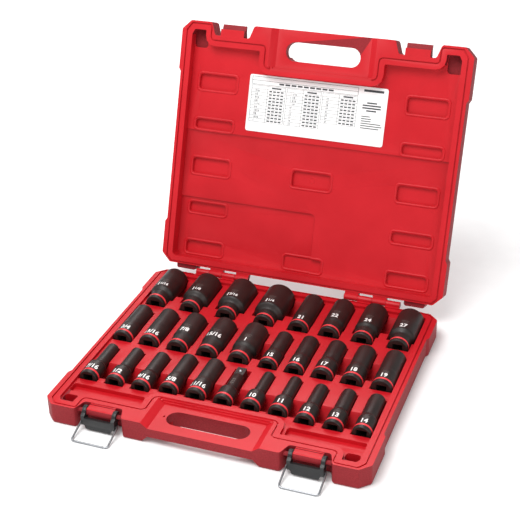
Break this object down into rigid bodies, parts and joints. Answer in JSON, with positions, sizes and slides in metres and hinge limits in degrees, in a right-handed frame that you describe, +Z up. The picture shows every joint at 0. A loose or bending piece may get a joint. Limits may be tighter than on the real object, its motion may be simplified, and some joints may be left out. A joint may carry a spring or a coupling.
{
  "type": "socket set in carrying case",
  "caption": "Deep impact sockets and an extension bar lying in rows in a moulded plastic case with a hinged lid, wire latches and a grip.",
  "frame": {"origin": "centre of the base's flat underside", "axes": "+X to the right when facing the latches, +Y to the hinges at the back, +Z up"},
  "size_m": [0.44, 0.5636, 0.3828],
  "materials": {
    "case_plastic": "blow-moulded polyethylene, satin",
    "latch_nylon": "moulded nylon, satin",
    "bail_wire": "bright zinc-plated wire",
    "socket_steel": "black phosphate on forged steel, oiled",
    "bright_steel": "ground steel",
    "label_stock": "printed film, matt"
  },
  "bodies": {
    "base": {"case_base": "case_plastic", "hinge_pin_left": "bright_steel", "hinge_pin_right": "bright_steel"},
    "lid": {"case_lid": "case_plastic", "socket_chart_label": "label_stock"},
    "lever_left": {"latch_lever_left": "latch_nylon"},
    "lever_right": {"latch_lever_right": "latch_nylon"},
    "bail_left": {"latch_bail_left": "bail_wire"},
    "bail_right": {"latch_bail_right": "bail_wire"},
    "extension": {"extension_bar": "socket_steel", "extension_detent_spring": "bright_steel"},
    "detent_ball": {"extension_detent_ball": "bright_steel"},
    "deep_in_7_16": {"socket_in_7_16": "socket_steel"},
    "deep_in_1_2": {"socket_in_1_2": "socket_steel"},
    "deep_in_9_16": {"socket_in_9_16": "socket_steel"},
    "deep_in_5_8": {"socket_in_5_8": "socket_steel"},
    "deep_in_11_16": {"socket_in_11_16": "socket_steel"},
    "deep_in_3_4": {"socket_in_3_4": "socket_steel"},
    "deep_in_13_16": {"socket_in_13_16": "socket_steel"},
    "deep_in_7_8": {"socket_in_7_8": "socket_steel"},
    "deep_in_15_16": {"socket_in_15_16": "socket_steel"},
    "deep_in_1": {"socket_in_1": "socket_steel"},
    "deep_in_1_1_16": {"socket_in_1_1_16": "socket_steel"},
    "deep_in_1_1_8": {"socket_in_1_1_8": "socket_steel"},
    "deep_in_1_3_16": {"socket_in_1_3_16": "socket_steel"},
    "deep_in_1_1_4": {"socket_in_1_1_4": "socket_steel"},
    "deep_mm_10": {"socket_mm_10": "socket_steel"},
    "deep_mm_11": {"socket_mm_11": "socket_steel"},
    "deep_mm_12": {"socket_mm_12": "socket_steel"},
    "deep_mm_13": {"socket_mm_13": "socket_steel"},
    "deep_mm_14": {"socket_mm_14": "socket_steel"},
    "deep_mm_15": {"socket_mm_15": "socket_steel"},
    "deep_mm_16": {"socket_mm_16": "socket_steel"},
    "deep_mm_17": {"socket_mm_17": "socket_steel"},
    "deep_mm_18": {"socket_mm_18": "socket_steel"},
    "deep_mm_19": {"socket_mm_19": "socket_steel"},
    "deep_mm_21": {"socket_mm_21": "socket_steel"},
    "deep_mm_22": {"socket_mm_22": "socket_steel"},
    "deep_mm_24": {"socket_mm_24": "socket_steel"},
    "deep_mm_27": {"socket_mm_27": "socket_steel"}
  },
  "joints": [
    {"name": "lid_hinge", "type": "hinge", "parent": "base", "child": "lid", "pos_m": [0, 0.1919, 0.0308], "axis": [-1, 0, 0], "range_deg": [-110.6, 0]},
    {"name": "latch_lever_left_swing", "type": "hinge", "parent": "base", "child": "lever_left", "pos_m": [-0.14, -0.1745, 0.0235], "axis": [-1, 0, 0], "range_deg": [0, 100]},
    {"name": "latch_lever_right_swing", "type": "hinge", "parent": "base", "child": "lever_right", "pos_m": [0.14, -0.1745, 0.0235], "axis": [-1, 0, 0], "range_deg": [0, 100]},
    {"name": "latch_bail_left_swing", "type": "hinge", "parent": "lever_left", "child": "bail_left", "pos_m": [-0.14, -0.1805, 0.0115], "axis": [1, 0, 0], "range_deg": [-107.6, 0]},
    {"name": "latch_bail_right_swing", "type": "hinge", "parent": "lever_right", "child": "bail_right", "pos_m": [0.14, -0.1805, 0.0115], "axis": [1, 0, 0], "range_deg": [-107.6, 0]},
    {"name": "extension_lift", "type": "slide", "parent": "base", "child": "extension", "axis": [0, 0, 1], "range_m": [0, 0.06]},
    {"name": "detent_ball_press", "type": "slide", "parent": "extension", "child": "detent_ball", "axis": [0, 0, 1], "range_m": [-0.0013, 0], "stiffness_N_per_m": 400, "springref_m": 0.001, "deforming": ["extension_detent_spring"]},
    {"name": "socket_in_7_16_lift", "type": "slide", "parent": "base", "child": "deep_in_7_16", "axis": [0, 0, 1], "range_m": [0, 0.06]},
    {"name": "socket_in_1_2_lift", "type": "slide", "parent": "base", "child": "deep_in_1_2", "axis": [0, 0, 1], "range_m": [0, 0.06]},
    {"name": "socket_in_9_16_lift", "type": "slide", "parent": "base", "child": "deep_in_9_16", "axis": [0, 0, 1], "range_m": [0, 0.06]},
    {"name": "socket_in_5_8_lift", "type": "slide", "parent": "base", "child": "deep_in_5_8", "axis": [0, 0, 1], "range_m": [0, 0.06]},
    {"name": "socket_in_11_16_lift", "type": "slide", "parent": "base", "child": "deep_in_11_16", "axis": [0, 0, 1], "range_m": [0, 0.06]},
    {"name": "socket_in_3_4_lift", "type": "slide", "parent": "base", "child": "deep_in_3_4", "axis": [0, 0, 1], "range_m": [0, 0.06]},
    {"name": "socket_in_13_16_lift", "type": "slide", "parent": "base", "child": "deep_in_13_16", "axis": [0, 0, 1], "range_m": [0, 0.06]},
    {"name": "socket_in_7_8_lift", "type": "slide", "parent": "base", "child": "deep_in_7_8", "axis": [0, 0, 1], "range_m": [0, 0.06]},
    {"name": "socket_in_15_16_lift", "type": "slide", "parent": "base", "child": "deep_in_15_16", "axis": [0, 0, 1], "range_m": [0, 0.06]},
    {"name": "socket_in_1_lift", "type": "slide", "parent": "base", "child": "deep_in_1", "axis": [0, 0, 1], "range_m": [0, 0.06]},
    {"name": "socket_in_1_1_16_lift", "type": "slide", "parent": "base", "child": "deep_in_1_1_16", "axis": [0, 0, 1], "range_m": [0, 0.06]},
    {"name": "socket_in_1_1_8_lift", "type": "slide", "parent": "base", "child": "deep_in_1_1_8", "axis": [0, 0, 1], "range_m": [0, 0.06]},
    {"name": "socket_in_1_3_16_lift", "type": "slide", "parent": "base", "child": "deep_in_1_3_16", "axis": [0, 0, 1], "range_m": [0, 0.06]},
    {"name": "socket_in_1_1_4_lift", "type": "slide", "parent": "base", "child": "deep_in_1_1_4", "axis": [0, 0, 1], "range_m": [0, 0.06]},
    {"name": "socket_mm_10_lift", "type": "slide", "parent": "base", "child": "deep_mm_10", "axis": [0, 0, 1], "range_m": [0, 0.06]},
    {"name": "socket_mm_11_lift", "type": "slide", "parent": "base", "child": "deep_mm_11", "axis": [0, 0, 1], "range_m": [0, 0.06]},
    {"name": "socket_mm_12_lift", "type": "slide", "parent": "base", "child": "deep_mm_12", "axis": [0, 0, 1], "range_m": [0, 0.06]},
    {"name": "socket_mm_13_lift", "type": "slide", "parent": "base", "child": "deep_mm_13", "axis": [0, 0, 1], "range_m": [0, 0.06]},
    {"name": "socket_mm_14_lift", "type": "slide", "parent": "base", "child": "deep_mm_14", "axis": [0, 0, 1], "range_m": [0, 0.06]},
    {"name": "socket_mm_15_lift", "type": "slide", "parent": "base", "child": "deep_mm_15", "axis": [0, 0, 1], "range_m": [0, 0.06]},
    {"name": "socket_mm_16_lift", "type": "slide", "parent": "base", "child": "deep_mm_16", "axis": [0, 0, 1], "range_m": [0, 0.06]},
    {"name": "socket_mm_17_lift", "type": "slide", "parent": "base", "child": "deep_mm_17", "axis": [0, 0, 1], "range_m": [0, 0.06]},
    {"name": "socket_mm_18_lift", "type": "slide", "parent": "base", "child": "deep_mm_18", "axis": [0, 0, 1], "range_m": [0, 0.06]},
    {"name": "socket_mm_19_lift", "type": "slide", "parent": "base", "child": "deep_mm_19", "axis": [0, 0, 1], "range_m": [0, 0.06]},
    {"name": "socket_mm_21_lift", "type": "slide", "parent": "base", "child": "deep_mm_21", "axis": [0, 0, 1], "range_m": [0, 0.06]},
    {"name": "socket_mm_22_lift", "type": "slide", "parent": "base", "child": "deep_mm_22", "axis": [0, 0, 1], "range_m": [0, 0.06]},
    {"name": "socket_mm_24_lift", "type": "slide", "parent": "base", "child": "deep_mm_24", "axis": [0, 0, 1], "range_m": [0, 0.06]},
    {"name": "socket_mm_27_lift", "type": "slide", "parent": "base", "child": "deep_mm_27", "axis": [0, 0, 1], "range_m": [0, 0.06]}
  ]
}
